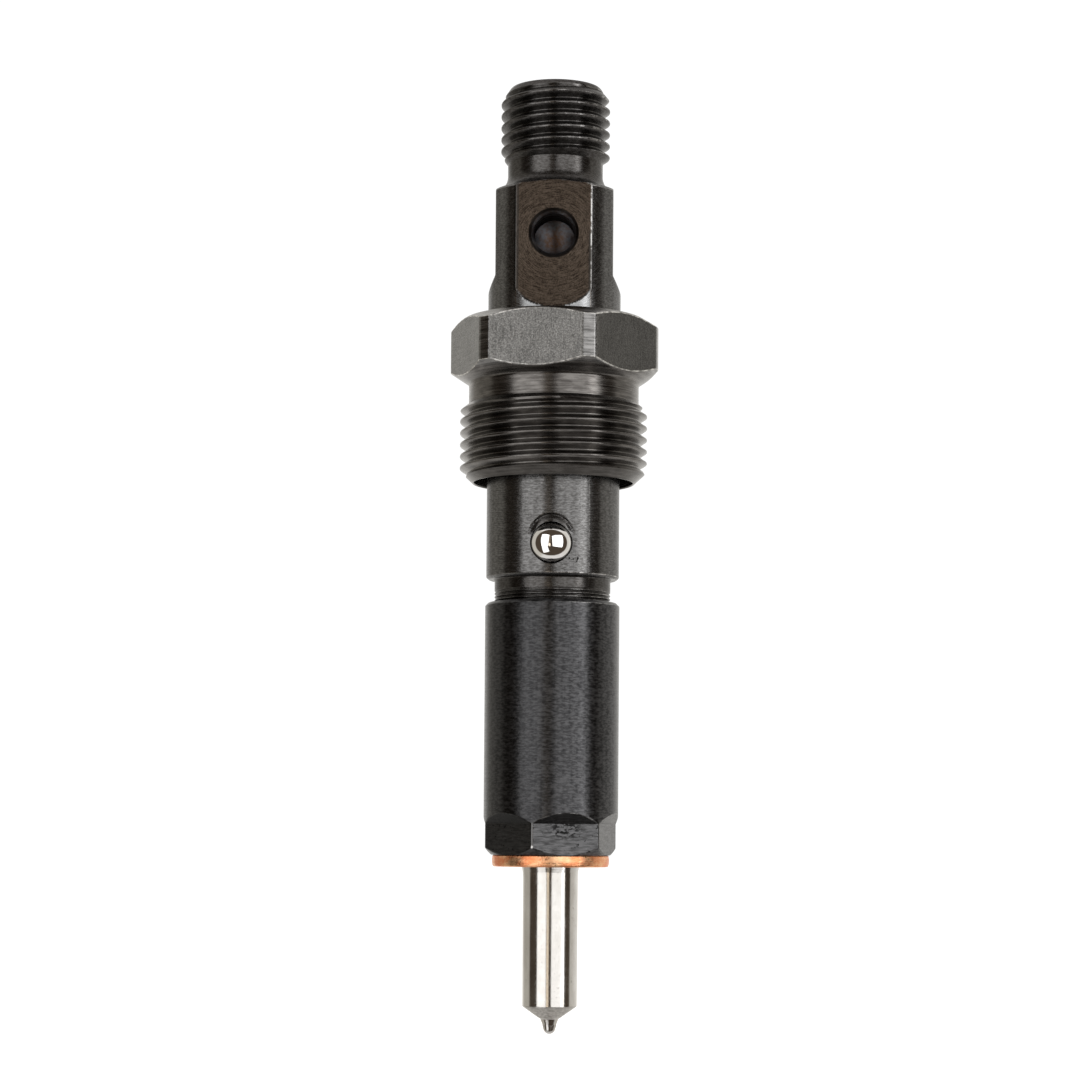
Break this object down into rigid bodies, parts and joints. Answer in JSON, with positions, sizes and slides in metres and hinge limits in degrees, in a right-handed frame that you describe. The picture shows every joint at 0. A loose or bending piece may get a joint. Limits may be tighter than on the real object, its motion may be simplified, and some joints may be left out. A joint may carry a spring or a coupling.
{
  "type": "diesel fuel injector",
  "caption": "Slim mechanical diesel injector: nozzle holder with screw-in gland nut, side leak-off port, locating ball, retaining nut, copper washer and hole-type nozzle.",
  "frame": {"origin": "on the injector's axis at the underside of the copper sealing washer, the face that seals on the cylinder head", "axes": "+Z along the axis towards the fuel inlet; -Y is the side with the leak-off port and the locating ball; the wrench flats face -X and +X"},
  "size_m": [0.0268, 0.0256, 0.1213],
  "materials": {
    "blackened_steel": "black oxide on turned steel, satin, with faint turning marks",
    "retaining_steel": "black oxide on turned steel, satin, with fine vertical streaks",
    "gland_steel": "dull phosphated steel, milled hexagon and rolled thread",
    "hardened_steel": "ground and hardened",
    "needle_steel": "lapped, mirror bright",
    "ground_steel": "bright ground steel with fine circumferential marks",
    "polished_ball": "polished bearing ball",
    "spring_steel": "oil-tempered spring wire with ground ends",
    "copper": "bright annealed copper, lightly burnished"
  },
  "bodies": {
    "holder": {"holder_body": "blackened_steel", "edge_filter": "hardened_steel", "locating_ball": "polished_ball", "retaining_nut": "retaining_steel", "sealing_washer": "copper", "nozzle_body": "ground_steel", "intermediate_disc": "hardened_steel", "upper_dowel_left": "hardened_steel", "upper_dowel_right": "hardened_steel", "lower_dowel_left": "hardened_steel", "lower_dowel_right": "hardened_steel", "pressure_spring": "spring_steel", "thick_shim": "hardened_steel", "thin_shim": "hardened_steel"},
    "gland": {"gland_nut": "gland_steel"},
    "needle": {"nozzle_needle": "needle_steel", "pressure_pin": "needle_steel", "spring_seat": "hardened_steel"}
  },
  "joints": [
    {"name": "gland_nut_spin", "type": "hinge", "parent": "holder", "child": "gland", "pos_m": [0, 0, 0.0596], "axis": [0, 0, 1], "continuous": true},
    {"name": "needle_lift", "type": "slide", "parent": "holder", "child": "needle", "axis": [0, 0, 1], "range_m": [0, 0.00022], "stiffness_N_per_m": 5000, "deforming": ["pressure_spring"]}
  ]
}
